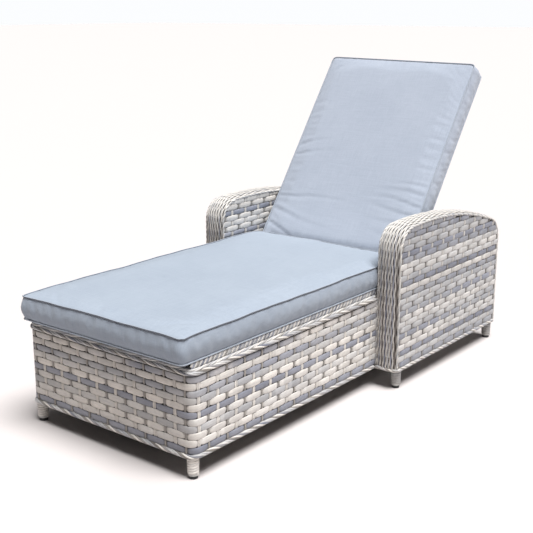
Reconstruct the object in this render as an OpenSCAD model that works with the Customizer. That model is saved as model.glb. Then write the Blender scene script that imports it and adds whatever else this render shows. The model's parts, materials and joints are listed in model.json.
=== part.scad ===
// Reclining sun lounger: woven base, two woven box arms, a hinged back on a folding prop, and cushions.
// Lengths are in millimetres. +Z is up, the foot end faces -Y and +X is the sitter's left.
// Heights start at the floor. Places along the length start at the foot end of the base, and
// at_origin() then moves the middle of the whole lounger to y = 0.

/* [Base] */
// Width of the woven base
base_w = 700; // [660:5:740]
// Length of the woven base
base_l = 1690; // [1688:1:1710]
// Height of the lower rim above the floor
rim_z = 64; // [60:1:90]
// Height of the top of the side weave, where the seat rails begin
weave_top_z = 325; // [310:1:330]
// Size of the wrapped seat rails, up and across
rail_w = 27; // [24:1:30]
// Radius of the two upright corners at the foot end
corner_r = 30; // [28:1:36]
// End of the seat deck
deck_l = 1182; // [1140:1:1187]

/* [Legs] */
// Diameter of a wrapped leg at the rim
leg_d = 34; // [32:1:36]
// Diameter of the tube inside a leg
post_d = 20; // [18:1:20]
// Height of the black glide under each leg
glide_h = 10; // [6:1:14]

/* [Arms] */
// Width of an arm
arm_w = 88; // [84:1:95]
// Front of the arms
arm_y = 937; // [915:1:945]
// Highest point of the arms
arm_z = 581; // [550:1:600]
// Distance from the arm's front to its highest point
arm_crest = 198; // [150:1:240]
// Radius of the long curve along the arm's top
arm_top_r = 1600; // [1400:20:2400]
// Radius of the arm's front corner
arm_front_r = 88; // [75:1:95]
// Radius of the arm's rear corner
arm_rear_r = 100; // [85:1:110]

/* [Back] */
// Angle of the raised back above the horizontal
back_angle = 55; // [45:1:58]
// Distance from the foot end to the hinge line
hinge_y = 1215; // [1212:1:1220]
// Length of the back frame from the hinge line
back_l = 835; // [800:5:860]
// Width of the back frame
back_w = 606; // [590:1:606]
// Distance along the back to the prop's pivot, which is also the prop's length
prop_l = 213; // [200:1:215]

/* [Cushions] */
// Thickness of both cushions
cushion_t = 77; // [60:1:90]
// Width of the seat cushion
seat_cushion_w = 684; // [640:2:690]
// Length of the seat cushion
seat_cushion_l = 1162; // [1100:1:1164]
// How far the seat cushion stands out over the foot end
seat_overhang = 28; // [10:1:40]
// Width of the back cushion
back_cushion_w = 656; // [620:2:660]
// Length of the back cushion
back_cushion_l = 838; // [800:1:860]

/* [Hidden] */
$fn = 48;

// tubes and skins
wall = 2;                       // wall of every metal tube
skin_t = 5;                     // thickness of a woven skin
rope_d = 14;                    // diameter of the braided ropes
rope_out = 6;                   // how far the ropes stand out from the woven faces
lower_tube = 25;                // side of the square tubes low in the base
arm_tube = 22;                  // side of the square tubes inside the arms
band_t = 10;                    // thickness of the border band round the arms

// base
half_w = base_w / 2;
deck_z = weave_top_z + rail_w;
rail_out = half_w - 9;          // outer face of the seat rails
rail_in = rail_out - rail_w;
lower_in = half_w - rope_d - lower_tube;
skin_z0 = rim_z + rope_d;       // the woven panels stand between the two ropes
skin_z1 = weave_top_z - rope_d;
head_top_z = weave_top_z - 4;   // the lowered back passes over the head end
bar_h = rail_w - skin_t;        // bars under the deck
upright = 24;
lower_z1 = rim_z + 3 + lower_tube;

// legs
leg_in = corner_r - 8;          // distance of a foot leg's centre from both faces
foot_leg_x = half_w - leg_in;
arm_leg_x = half_w + arm_w - 21;
front_leg_y = arm_y + 35;
rear_leg_y = base_l - 21;
glide_d = 27;

// arms
arm_x1 = half_w + arm_w;
arm_o = [arm_y + arm_crest, arm_z - arm_top_r];
front_c = corner_centre(arm_y + arm_front_r, arm_front_r);
rear_c = corner_centre(base_l - arm_rear_r, arm_rear_r);
front_a = atan2(front_c[1] - arm_o[1], front_c[0] - arm_o[0]);
rear_a = atan2(rear_c[1] - arm_o[1], rear_c[0] - arm_o[0]);
front_post_z = front_c[1] + 38;
rear_post_z = rear_c[1] + 10;
bolt_r = 4;
bolt_zs = [weave_top_z + rail_w / 2, skin_z0 + bolt_r + 2];

// back and prop
tube_r = 13;
hinge_z = deck_z - tube_r - 4;
side_x = back_w / 2 - tube_r;   // centre of the back's side tubes
pin_r = 5;
pin_play = 0.05;
rod_r = 8;
sleeve_r = 12;
eye_r = 15;
cross_r = 11;
foot_rod_r = 6;
prop_x = 200;
notch_x = 212;
notch_t = 8;
notch_play = 0.5;               // gap between the prop's foot rod and the notched rails' crest
notch_z0 = 285;
notch_y0 = hinge_y + 228;
notch_y1 = base_l - 39;
notch_count = 5;
cross_ys = [60, 500, back_l - tube_r];
cushion_rise = 17.5;            // back cushion above the back's tube plane
cushion_start = 12;             // lower edge of the back cushion, from the hinge line
cover_t = 2;
piping_t = 3;
piping_h = 4;

// middle of the whole lounger along Y with the back raised
y_back = hinge_y + back_l * cos(back_angle) + tube_r * sin(back_angle);
y_mid = (max(base_l + rope_out, y_back) - seat_overhang) / 2;

function corner_centre(y, r) =
    [y, arm_o[1] + sqrt((arm_top_r - r) * (arm_top_r - r) - (y - arm_o[0]) * (y - arm_o[0]))];
function arc(c, r, a0, a1, n) =
    [for (i = [0:n]) let (a = a0 + (a1 - a0) * i / n) [c[0] + r * cos(a), c[1] + r * sin(a)]];
// side outline of an arm, drawn inset from its outer edge
function arm_outline(inset, z0) = concat(
    [[arm_y + inset, z0]],
    arc(front_c, arm_front_r - inset, 180, front_a, 10),
    arc(arm_o, arm_top_r - inset, front_a, rear_a, 16),
    arc(rear_c, arm_rear_r - inset, rear_a, 0, 10),
    [[base_l - inset, z0]]);

module at_origin() {
    translate([0, -y_mid, 0]) children();
}
module side(s) {
    if (s > 0) children();
    else mirror([1, 0, 0]) children();
}
module both_sides() {
    for (s = [1, -1]) side(s) children();
}
// a box between two corners
module block(a, b) {
    translate(a) cube(b - a);
}
// extrudes a Y-Z outline from x0 to x1
module along_x(x0, x1) {
    translate([x0, 0, 0]) rotate([90, 0, 90]) linear_extrude(x1 - x0) children();
}
module rod_x(x0, x1, y, z, r) {
    translate([x0, y, z]) rotate([0, 90, 0]) cylinder(h = x1 - x0, r = r);
}
// a rounded rectangle in X-Y, from corner to corner
module round_rect(a, b, r) {
    translate([a[0] + r, a[1]]) square([b[0] - a[0] - 2 * r, b[1] - a[1]]);
    translate([a[0], a[1] + r]) square([b[0] - a[0], b[1] - a[1] - 2 * r]);
    for (x = [a[0] + r, b[0] - r]) for (y = [a[1] + r, b[1] - r]) translate([x, y]) circle(r);
}
// a square tube along Y with rounded edges, from its lower inner corner
module tube_y(x0, y0, y1, z0, s, r) {
    translate([x0, y1, z0]) rotate([90, 0, 0]) linear_extrude(y1 - y0) difference() {
        round_rect([0, 0], [s, s], r);
        translate([wall, wall]) square(s - 2 * wall);
    }
}
// a square tube along X
module tube_x(x0, x1, y0, z0, s, r) {
    along_x(x0, x1) translate([y0, z0]) difference() {
        round_rect([0, 0], [s, s], r);
        translate([wall, wall]) square(s - 2 * wall);
    }
}
module bolts(r) {
    for (y = [front_leg_y, rear_leg_y]) for (z = bolt_zs) rod_x(lower_in - 8, arm_leg_x - 6, y, z, r);
}
module posts(r) {
    translate([foot_leg_x, leg_in, 0]) cylinder(h = weave_top_z, r = r);
    for (y = [front_leg_y, rear_leg_y]) translate([arm_leg_x, y, 0]) cylinder(h = arm_z, r = r);
}

// ---- base frame ----
module top_rail(s) {
    color("gainsboro") at_origin() side(s) difference() {
        tube_y(rail_in, 9, base_l, weave_top_z, rail_w, 6);
        bolts(bolt_r);
    }
}
module top_rail_foot() {
    color("gainsboro") at_origin() tube_x(-rail_in, rail_in, 9, weave_top_z, rail_w, 6);
}
module head_rail() {
    color("silver") at_origin() tube_x(-rail_in, rail_in, notch_y1, head_top_z - upright, upright, 3);
}
module bottom_side_rails() {
    color("silver") at_origin() both_sides() difference() {
        tube_y(lower_in, leg_in, base_l - skin_t, rim_z + 3, lower_tube, 3);
        posts(post_d / 2);
        bolts(bolt_r);
    }
}
module bottom_end_rails() {
    color("silver") at_origin() for (y = [corner_r / 2, notch_y1 - lower_tube])
        difference() {
            tube_x(-lower_in, lower_in, y, rim_z + 3, lower_tube, 3);
            both_sides() posts(post_d / 2);
        }
}
module base_uprights() {
    color("silver") at_origin() both_sides() for (y = [560, deck_l - upright, notch_y0 - upright, notch_y1])
        block([rail_in, y, lower_z1], [rail_in + upright, y + upright, weave_top_z]);
}
module deck_cross_bars() {
    color("silver") at_origin() for (y = [320, 620, 900, deck_l - bar_h])
        tube_x(-rail_in, rail_in, y, weave_top_z, bar_h, 3);
}
module notch_rail_bar() {
    color("silver") at_origin() tube_x(-rail_in, rail_in, notch_y0 - lower_tube, notch_z0, lower_tube, 3);
}

// ---- woven skins and ropes of the base ----
module seat_deck() {
    color("lightgray") at_origin()
        block([-rail_in, 9 + rail_w, deck_z - skin_t], [rail_in, deck_l, deck_z]);
}
module side_panel(s) {
    color("lightgray") at_origin() side(s) difference() {
        block([half_w - skin_t, corner_r, skin_z0], [half_w, base_l, skin_z1]);
        bolts(bolt_r);
    }
}
// the foot end of a rounded rectangle as wide as the base
module foot_outline(inset) {
    intersection() {
        round_rect([inset - half_w, inset], [half_w - inset, base_l], corner_r - inset);
        translate([-half_w, 0]) square([base_w, corner_r]);
    }
}
module foot_panel() {
    color("lightgray") at_origin() translate([0, 0, skin_z0]) linear_extrude(skin_z1 - skin_z0)
        difference() {
            foot_outline(0);
            foot_outline(skin_t);
        }
}
module head_panel() {
    color("lightgray") at_origin() block([skin_t - half_w, base_l - skin_t, skin_z0],
        [half_w - skin_t, base_l, head_top_z - rope_d]);
}
// a quarter turn of rope round an upright corner, bend being the radius of its middle line
module rope_bend(x, y, bend, turn) {
    translate([x, y, 0]) rotate([0, 0, turn]) rotate_extrude(angle = 90)
        translate([bend, 0]) circle(rope_d / 2);
}
// a rope round the foot end and along both sides as far as the arms
module base_rope(z) {
    r = rope_d / 2;
    bend_x = half_w - corner_r;
    color("darkgray") at_origin() translate([0, 0, z]) {
        rod_x(-bend_x, bend_x, r - rope_out, 0, r);
        both_sides() {
            rope_bend(bend_x, corner_r, corner_r + rope_out - r, -90);
            translate([half_w + rope_out - r, arm_y - rope_out, 0]) rotate([90, 0, 0])
                cylinder(h = arm_y - rope_out - corner_r, r = r);
        }
    }
}
module base_top_rope() {
    base_rope(weave_top_z - rope_d / 2);
}
module base_bottom_rope() {
    base_rope(rim_z + rope_d / 2);
}
module head_rope() {
    color("darkgray") at_origin()
        rod_x(skin_t - half_w, half_w - skin_t, base_l - rope_d / 2, head_top_z - rope_d / 2, rope_d / 2);
}

// ---- legs ----
module leg(x, y, top_z) {
    translate([x, y, 0]) difference() {
        union() {
            translate([0, 0, glide_h]) cylinder(h = rim_z - glide_h, r1 = leg_d / 2 - 1.5, r2 = leg_d / 2);
            translate([0, 0, rim_z]) cylinder(h = top_z - rim_z, r = post_d / 2);
        }
        translate([0, 0, glide_h]) cylinder(h = top_z, r = post_d / 2 - wall);
    }
}
module foot_leg(s) {
    color("linen") at_origin() side(s) leg(foot_leg_x, leg_in, weave_top_z);
}
module arm_front_leg(s) {
    color("linen") at_origin() side(s) difference() {
        leg(arm_leg_x, front_leg_y, front_post_z);
        bolts(bolt_r);
    }
}
module arm_rear_leg(s) {
    color("linen") at_origin() side(s) difference() {
        leg(arm_leg_x, rear_leg_y, rear_post_z);
        bolts(bolt_r);
    }
}
module leg_glides() {
    color("black") at_origin() both_sides() {
        translate([foot_leg_x, leg_in, 0]) cylinder(h = glide_h, d = glide_d);
        for (y = [front_leg_y, rear_leg_y]) translate([arm_leg_x, y, 0]) cylinder(h = glide_h, d = glide_d);
    }
}

// ---- arms ----
module arm_ring(inner, outer, x0, x1) {
    along_x(x0, x1) difference() {
        polygon(arm_outline(inner, skin_z0));
        polygon(arm_outline(outer, skin_z0 - 1));
    }
}
module arm_top_tube(s) {
    color("silver") at_origin() side(s) difference() {
        arm_ring(band_t, band_t + arm_tube, arm_leg_x - arm_tube / 2, arm_leg_x + arm_tube / 2);
        block([half_w, arm_y, 0], [arm_x1, hinge_y, front_post_z]);
        block([half_w, hinge_y, 0], [arm_x1, base_l, rear_post_z]);
    }
}
module arm_bottom_tube(s) {
    color("silver") at_origin() side(s) difference() {
        tube_y(arm_leg_x - arm_tube / 2, front_leg_y, rear_leg_y, skin_z0 + 14, arm_tube, 3);
        posts(post_d / 2);
    }
}
module arm_panel(x0, s) {
    color("lightgray") at_origin() side(s) difference() {
        along_x(x0, x0 + skin_t) polygon(arm_outline(band_t, skin_z0));
        bolts(bolt_r);
    }
}
module arm_band(y0, y1, s) {
    color("whitesmoke") at_origin() side(s) intersection() {
        arm_ring(0, band_t, half_w, arm_x1);
        block([half_w, y0, 0], [arm_x1, y1, arm_z + 1]);
    }
}
module arm_front_band(s) {
    arm_band(arm_y, front_c[0], s);
}
module arm_top_band(s) {
    arm_band(front_c[0], rear_c[0], s);
}
module arm_rear_band(s) {
    arm_band(rear_c[0], base_l, s);
}
// a rope along the outer side, with a bend to a short return at the arm's front and rear
module arm_bottom_rope(s) {
    r = rope_d / 2;
    bend = rope_d;
    x = arm_x1 + rope_out - r - bend;
    y0 = arm_y - rope_out + r;
    y1 = base_l + rope_out - r;
    color("darkgray") at_origin() side(s) translate([0, 0, rim_z + r]) {
        translate([x + bend, y1 - bend, 0]) rotate([90, 0, 0]) cylinder(h = y1 - y0 - 2 * bend, r = r);
        rod_x(half_w, x, y0, 0, r);
        rod_x(half_w, x, y1, 0, r);
        rope_bend(x, y0 + bend, bend, -90);
        rope_bend(x, y1 - bend, bend, 0);
    }
}
module arm_bolts() {
    color("dimgray") at_origin() both_sides() for (y = [front_leg_y, rear_leg_y]) {
        rod_x(rail_in, arm_leg_x - 6, y, bolt_zs[0], bolt_r);
        rod_x(lower_in, arm_leg_x - 6, y, bolt_zs[1], bolt_r);
        translate([rail_in - 5, y, bolt_zs[0]]) rotate([0, 90, 0]) cylinder(h = 5, r = 6.5, $fn = 6);
        translate([lower_in - 5, y, bolt_zs[1]]) rotate([0, 90, 0]) cylinder(h = 5, r = 6.5, $fn = 6);
    }
}
// sleeves that keep the arm off the base and its skin off the post
module arm_spacers() {
    color("gray") at_origin() both_sides() difference() {
        for (y = [front_leg_y, rear_leg_y]) {
            rod_x(rail_out, half_w, y, bolt_zs[0], 7);
            rod_x(lower_in + lower_tube, half_w - skin_t, y, bolt_zs[1], 6);
            for (z = bolt_zs) rod_x(half_w + skin_t, arm_leg_x - 6, y, z, 7);
        }
        bolts(bolt_r);
        posts(post_d / 2);
    }
}

// ---- hinge and notched rails ----
module hinge_brackets() {
    color("dimgray") at_origin() both_sides() difference() {
        union() {
            block([rail_in - 10, hinge_y - 20, hinge_z - 25], [rail_in, hinge_y + 20, hinge_z]);
            rod_x(rail_in - 10, rail_in, hinge_y, hinge_z, eye_r);
        }
        rod_x(rail_in - 11, rail_in + 1, hinge_y, hinge_z, pin_r);
    }
}
module hinge_pins() {
    color("silver") at_origin() both_sides() {
        rod_x(side_x - tube_r - 0.5, rail_in, hinge_y, hinge_z, pin_r);
        rod_x(side_x - tube_r - 4, side_x - tube_r - 0.5, hinge_y, hinge_z, 9);
    }
}
// the prop's foot rod slides along the crest, and the notches are where it can stop
module notch_rail(s) {
    foot_raised = hinge_y + 2 * prop_l * cos(back_angle);
    foot_flat = hinge_y + 2 * prop_l;
    crest = hinge_z - foot_rod_r - notch_play;
    color("dimgray") at_origin() side(s) difference() {
        block([notch_x, notch_y0, notch_z0], [notch_x + notch_t, notch_y1, crest]);
        for (i = [0:notch_count - 1])
            rod_x(notch_x - 1, notch_x + notch_t + 1,
                foot_raised + (foot_flat - foot_raised) * i / (notch_count - 1), crest, foot_rod_r + 1);
    }
}

// ---- cushions ----
// a cushion lies in X-Y with its underside at z = 0; a is its corner and b is the opposite one
module cushion_cover(a, b) {
    inset = [piping_t, piping_t];
    difference() {
        linear_extrude(cushion_t) round_rect(a + inset, b - inset, 22);
        translate([0, 0, cover_t]) cushion_foam_shape(a, b);
    }
}
module cushion_foam_shape(a, b) {
    inset = [piping_t + cover_t, piping_t + cover_t];
    linear_extrude(cushion_t - 2 * cover_t) round_rect(a + inset, b - inset, 20);
}
module cushion_piping(a, b) {
    inset = [piping_t, piping_t];
    for (z = [1, cushion_t - piping_h - 1]) translate([0, 0, z]) linear_extrude(piping_h) difference() {
        round_rect(a, b, 25);
        round_rect(a + inset, b - inset, 22);
    }
}
seat_a = [-seat_cushion_w / 2, -seat_overhang];
seat_b = [seat_cushion_w / 2, seat_cushion_l - seat_overhang];
back_a = [-back_cushion_w / 2, cushion_start];
back_b = [back_cushion_w / 2, cushion_start + back_cushion_l];
module seat_cushion_cover() {
    color("lightsteelblue") at_origin() translate([0, 0, deck_z]) cushion_cover(seat_a, seat_b);
}
module seat_cushion_foam() {
    color("white") at_origin() translate([0, 0, deck_z + cover_t]) cushion_foam_shape(seat_a, seat_b);
}
module seat_cushion_piping() {
    color("slategray") at_origin() translate([0, 0, deck_z]) cushion_piping(seat_a, seat_b);
}

// ---- back ----
// the back's own frame: Y runs up the back from the hinge line and Z points out of its front
module on_back() {
    at_origin() translate([0, hinge_y, hinge_z]) rotate([back_angle, 0, 0]) children();
}
module side_tubes(r) {
    both_sides() translate([side_x, back_l, 0]) rotate([90, 0, 0]) cylinder(h = back_l, r = r);
}
module back_side_tube(s) {
    x = s * side_x;
    color("silver") on_back() difference() {
        union() {
            translate([x, back_l, 0]) rotate([90, 0, 0]) cylinder(h = back_l - 8, r = tube_r);
            rod_x(x - tube_r, x + tube_r, 0, 0, eye_r);
        }
        translate([x, back_l + 1, 0]) rotate([90, 0, 0]) cylinder(h = back_l - 20, r = tube_r - wall);
        rod_x(x - tube_r - 1, x + tube_r + 1, 0, 0, pin_r + pin_play);
    }
}
module back_cross_tubes() {
    color("silver") on_back() difference() {
        for (y = cross_ys) rod_x(-side_x, side_x, y, 0, cross_r);
        for (y = cross_ys) rod_x(-side_x - 1, side_x + 1, y, 0, cross_r - wall);
        side_tubes(tube_r);
    }
}
module prop_pivot_rod() {
    color("silver") on_back() difference() {
        rod_x(-side_x, side_x, prop_l, 0, rod_r);
        side_tubes(tube_r);
    }
}
module back_panel() {
    color("lightgray") on_back()
        block([-back_w / 2, 15, tube_r], [back_w / 2, back_l, tube_r + 4]);
}
module back_cushion_cover() {
    color("lightsteelblue") on_back() translate([0, 0, cushion_rise]) cushion_cover(back_a, back_b);
}
module back_cushion_foam() {
    color("white") on_back() translate([0, 0, cushion_rise + cover_t]) cushion_foam_shape(back_a, back_b);
}
module back_cushion_piping() {
    color("slategray") on_back() translate([0, 0, cushion_rise]) cushion_piping(back_a, back_b);
}

// ---- prop ----
// the prop's own frame: Y runs from its pivot on the back down to its foot
module on_prop() {
    on_back() translate([0, prop_l, 0]) rotate([-2 * back_angle, 0, 0]) children();
}
module prop_arms() {
    color("dimgray") on_prop() both_sides() difference() {
        union() {
            translate([prop_x, prop_l, 0]) rotate([90, 0, 0]) cylinder(h = prop_l, r = rod_r);
            rod_x(prop_x - 10, prop_x + 10, 0, 0, sleeve_r);
        }
        rod_x(prop_x - 13, prop_x + 13, 0, 0, rod_r + pin_play);
        rod_x(prop_x - 13, prop_x + 13, prop_l, 0, foot_rod_r);
    }
}
module prop_foot_rod() {
    color("dimgray") on_prop() rod_x(-notch_x - notch_t - 6, notch_x + notch_t + 6, prop_l, 0, foot_rod_r);
}

top_rail(1);  // top_rail_left
top_rail(-1);  // top_rail_right
top_rail_foot();
head_rail();
bottom_side_rails();
bottom_end_rails();
base_uprights();
deck_cross_bars();
notch_rail_bar();
seat_deck();
side_panel(1);  // side_panel_left
side_panel(-1);  // side_panel_right
foot_panel();
head_panel();
base_top_rope();
base_bottom_rope();
head_rope();
foot_leg(1);  // foot_leg_left
foot_leg(-1);  // foot_leg_right
arm_front_leg(1);  // arm_front_leg_left
arm_front_leg(-1);  // arm_front_leg_right
arm_rear_leg(1);  // arm_rear_leg_left
arm_rear_leg(-1);  // arm_rear_leg_right
leg_glides();
arm_top_tube(1);  // arm_top_tube_left
arm_top_tube(-1);  // arm_top_tube_right
arm_bottom_tube(1);  // arm_bottom_tube_left
arm_bottom_tube(-1);  // arm_bottom_tube_right
arm_panel(arm_x1 - skin_t, 1);  // arm_outer_panel_left
arm_panel(arm_x1 - skin_t, -1);  // arm_outer_panel_right
arm_panel(half_w, 1);  // arm_inner_panel_left
arm_panel(half_w, -1);  // arm_inner_panel_right
arm_front_band(1);  // arm_front_band_left
arm_front_band(-1);  // arm_front_band_right
arm_top_band(1);  // arm_top_band_left
arm_top_band(-1);  // arm_top_band_right
arm_rear_band(1);  // arm_rear_band_left
arm_rear_band(-1);  // arm_rear_band_right
arm_bottom_rope(1);  // arm_bottom_rope_left
arm_bottom_rope(-1);  // arm_bottom_rope_right
arm_bolts();
arm_spacers();
hinge_brackets();
hinge_pins();
notch_rail(1);  // notch_rail_left
notch_rail(-1);  // notch_rail_right
seat_cushion_cover();
seat_cushion_foam();
seat_cushion_piping();
back_side_tube(1);  // back_side_tube_left
back_side_tube(-1);  // back_side_tube_right
back_cross_tubes();
prop_pivot_rod();
back_panel();
back_cushion_cover();
back_cushion_foam();
back_cushion_piping();
prop_arms();
prop_foot_rod();
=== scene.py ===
"""Looks for the reclining sun lounger: strands, cushions, materials, light and camera."""
import json
import math

import bpy
import numpy as np
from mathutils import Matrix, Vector


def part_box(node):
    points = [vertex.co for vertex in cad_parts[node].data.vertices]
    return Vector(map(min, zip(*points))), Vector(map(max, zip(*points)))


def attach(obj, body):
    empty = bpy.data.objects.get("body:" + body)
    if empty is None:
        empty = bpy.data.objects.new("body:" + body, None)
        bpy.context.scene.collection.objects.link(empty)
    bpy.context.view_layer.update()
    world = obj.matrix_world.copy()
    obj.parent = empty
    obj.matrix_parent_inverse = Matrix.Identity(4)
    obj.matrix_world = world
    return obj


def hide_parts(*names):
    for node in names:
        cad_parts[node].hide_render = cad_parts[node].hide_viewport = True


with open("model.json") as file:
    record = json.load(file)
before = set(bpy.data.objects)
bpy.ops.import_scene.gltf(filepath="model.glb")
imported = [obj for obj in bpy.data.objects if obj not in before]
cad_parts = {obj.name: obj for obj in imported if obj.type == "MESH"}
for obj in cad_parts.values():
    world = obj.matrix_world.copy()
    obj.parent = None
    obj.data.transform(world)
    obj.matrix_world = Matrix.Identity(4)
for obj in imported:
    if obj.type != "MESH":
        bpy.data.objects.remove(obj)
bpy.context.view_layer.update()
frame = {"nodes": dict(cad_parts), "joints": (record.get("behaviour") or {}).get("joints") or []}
TAU = 2 * math.pi
X, Y, Z = np.eye(3)
scene = bpy.context.scene

# ------------------------------ places, all taken from the frame
foot_panel_lo, foot_panel_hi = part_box("foot_panel")
side_lo, side_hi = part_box("side_panel_left")
head_lo, head_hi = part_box("head_panel")
front_band_lo, front_band_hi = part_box("arm_front_band_left")
rear_band_lo, rear_band_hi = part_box("arm_rear_band_left")
deck_lo, deck_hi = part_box("seat_deck")
_, panel_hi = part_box("back_panel")
tube_lo, tube_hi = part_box("back_side_tube_left")
seat_lo, seat_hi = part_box("seat_cushion_cover")
back_lo, back_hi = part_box("back_cushion_cover")
FOOT_Y = foot_panel_lo.y
HEAD_Y = head_hi.y
HALF_W = side_hi.x
WEAVE_Z0, WEAVE_Z1 = side_lo.z, side_hi.z
CORNER_R = foot_panel_hi.y - foot_panel_lo.y
ARM_X1 = front_band_hi.x
ARM_Y0, ARM_Y1 = front_band_lo.y, rear_band_hi.y
HINGE = np.array(Vector(next(j["pos_m"] for j in frame["joints"] if j["name"] == "back_recline")))
BACK_ANGLE = math.radians(55)
BACK_DIR = np.array([0, math.cos(BACK_ANGLE), math.sin(BACK_ANGLE)])      # up along the back
BACK_OUT = np.array([0, -math.sin(BACK_ANGLE), math.cos(BACK_ANGLE)])     # out of its front
SIDES = ((1, "left"), (-1, "right"))

# ------------------------------ colours of the strands, linear
CREAM = (0.715, 0.675, 0.625)
PALE = (0.615, 0.597, 0.572)
GREIGE = (0.33, 0.305, 0.275)
GREY = (0.40, 0.40, 0.41)
BLUE = (0.280, 0.291, 0.340)
SLATE = (0.188, 0.198, 0.242)
# dark brown: a strand colour, and the painted shade of the sheets behind the base's weave and under the arms'
# borders
BROWN_AND_PAINTED_SHADE = (0.15, 0.13, 0.11)


def tone_mix(a, b, t):
    t = np.clip(t, 0, 1)[:, None]
    return np.array(a) * (1 - t) + np.array(b) * t


def wander(s, seed, scales=(0.9, 0.37, 0.16)):
    """A smooth wave between about -1 and 1 along lengths s in metres, the same for the same seed."""
    r = np.random.default_rng(seed)
    total = np.zeros_like(s)
    for scale, share in zip(scales, (1.0, 0.6, 0.4)):
        total += np.sin(TAU * s / scale + r.uniform(0, TAU)) * share
    return total / 1.6


def unit(v):
    return v / np.linalg.norm(v, axis=-1, keepdims=True)


def run_length(points):
    """Length along a line of points, from 0 at the first one."""
    return np.concatenate([[0], np.cumsum(np.linalg.norm(np.diff(points, axis=0), axis=1))])


def sampled(s, length, values):
    """Rows of values, looked up at lengths s."""
    return np.stack([np.interp(s, length, column) for column in np.asarray(values, float).T], -1)


# ------------------------------ meshes
def new_object(name, verts, quads, body, material, tone=None, strand=None):
    mesh = bpy.data.meshes.new(name)
    mesh.vertices.add(len(verts))
    mesh.vertices.foreach_set("co", np.asarray(verts, np.float32).ravel())
    mesh.loops.add(len(quads) * 4)
    mesh.loops.foreach_set("vertex_index", np.asarray(quads, np.int32).ravel())
    mesh.polygons.add(len(quads))
    mesh.polygons.foreach_set("loop_start", np.arange(0, len(quads) * 4, 4, dtype=np.int32))
    mesh.polygons.foreach_set("use_smooth", np.ones(len(quads), bool))
    mesh.update(calc_edges=True)
    if tone is not None:
        colour = np.column_stack([tone, np.ones(len(tone))]).astype(np.float32)
        mesh.attributes.new("tone", "FLOAT_COLOR", "POINT").data.foreach_set("color", colour.ravel())
        along = np.asarray(strand, np.float32)
        mesh.attributes.new("strand", "FLOAT_VECTOR", "POINT").data.foreach_set("vector", along.ravel())
    obj = bpy.data.objects.new(name, mesh)
    scene.collection.objects.link(obj)
    mesh.materials.append(material)
    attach(obj, body)
    return obj


def tube_quads(count, ring, closed=False):
    """Quads round count rings of points; the last ring joins the first one when closed."""
    i = np.arange(count if closed else count - 1)[:, None] * ring
    j = np.arange(ring)[None]
    k = (j + 1) % ring
    after = (i + ring) % (count * ring)
    return np.stack([i + j, i + k, after + k, after + j], -1).reshape(-1, 4)


class Strands:
    """Strands swept along paths and gathered into one mesh."""

    def __init__(self):
        self.verts, self.quads, self.tone, self.strand = [], [], [], []
        self.count = 0

    def add(self, path, across, normal, half_w, half_t, tone, ring=8, flat=0.62):
        """across and normal are unit vectors at each point; tone is one colour, or one for each point."""
        n = len(path)
        angle = np.arange(ring) * TAU / ring + (0 if ring % 4 == 0 else TAU / ring / 2)
        cx = np.sign(np.cos(angle)) * np.abs(np.cos(angle)) ** flat
        cz = np.sign(np.sin(angle)) * np.abs(np.sin(angle)) ** 0.8
        cx[np.abs(cx) < 1e-6] = 0
        half_w = np.broadcast_to(half_w, n)
        half_t = np.broadcast_to(half_t, n)
        verts = (path[:, None] + across[:, None] * (half_w[:, None] * cx)[..., None]
                 + normal[:, None] * (half_t[:, None] * cz)[..., None])
        last = (n - 1) * ring
        caps = np.array([[a - 1, a, ring - 1 - a, ring - a] for a in range(1, ring // 2)])
        quads = np.concatenate([tube_quads(n, ring), caps[:, [0, 3, 2, 1]], caps + last])
        if np.dot(np.cross(across[0], normal[0]), path[1] - path[0]) < 0:
            quads = quads[:, ::-1]
        strand = np.stack([np.repeat(run_length(path), ring), np.tile(cx, n) * np.repeat(half_w, ring),
                           np.full(n * ring, len(self.verts) * 0.37)], -1)
        self.verts.append(verts.reshape(-1, 3))
        self.quads.append(quads + self.count)
        self.tone.append(np.repeat(np.broadcast_to(np.asarray(tone, float), (n, 3)), ring, axis=0))
        self.strand.append(strand)
        self.count += n * ring

    def lay(self, path, facing, half_w, half_t, tone, ring=8, flat=0.62):
        """A strand whose flat side faces roughly the way given at each point."""
        line = unit(np.gradient(path, axis=0))
        across = unit(np.cross(facing, line))
        self.add(path, across, unit(np.cross(line, across)), half_w, half_t, tone, ring, flat)

    def make(self, name, body, replaced=()):
        verts, quads, tone, strand = map(np.concatenate, (self.verts, self.quads, self.tone, self.strand))
        obj = new_object(name, verts, quads, body, STRAND, tone, strand)
        if replaced:
            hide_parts(*replaced)


# ------------------------------ the flat weave
GAP_ROW = 0.0004      # open space between two rows
LIFT = 0.0021         # how far a strand rises and falls
DIP = 0.0092          # half the length of a row's dip behind an upright strand
NARROW = 0.30         # share of its width that a row loses in a dip
STRAND_T = 0.0010     # half the thickness of a strand
STEP = 0.0068         # distance between the points of a row
SHAKE = 0.0005        # how far a strand strays from its straight line
PAIR_GAP = 0.0030     # a double upright's two strands lie this far to each side
PAIR_HALF, SINGLE_HALF = 0.0029, 0.0040
BACKING = 0.0050      # depth of the second layer behind the base's weave


def ease(c):
    """Flattens a cosine, so that an upright strand stays up over most of a row and dips fast."""
    return np.sign(c) * np.abs(c) ** 0.45


def scatter(brick, row):
    """A number between -0.5 and 0.5 for each brick of a row, always the same."""
    value = np.sin(brick * 12.9898 + row * 78.233) * 43758.5453
    return value - np.floor(value) - 0.5


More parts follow.
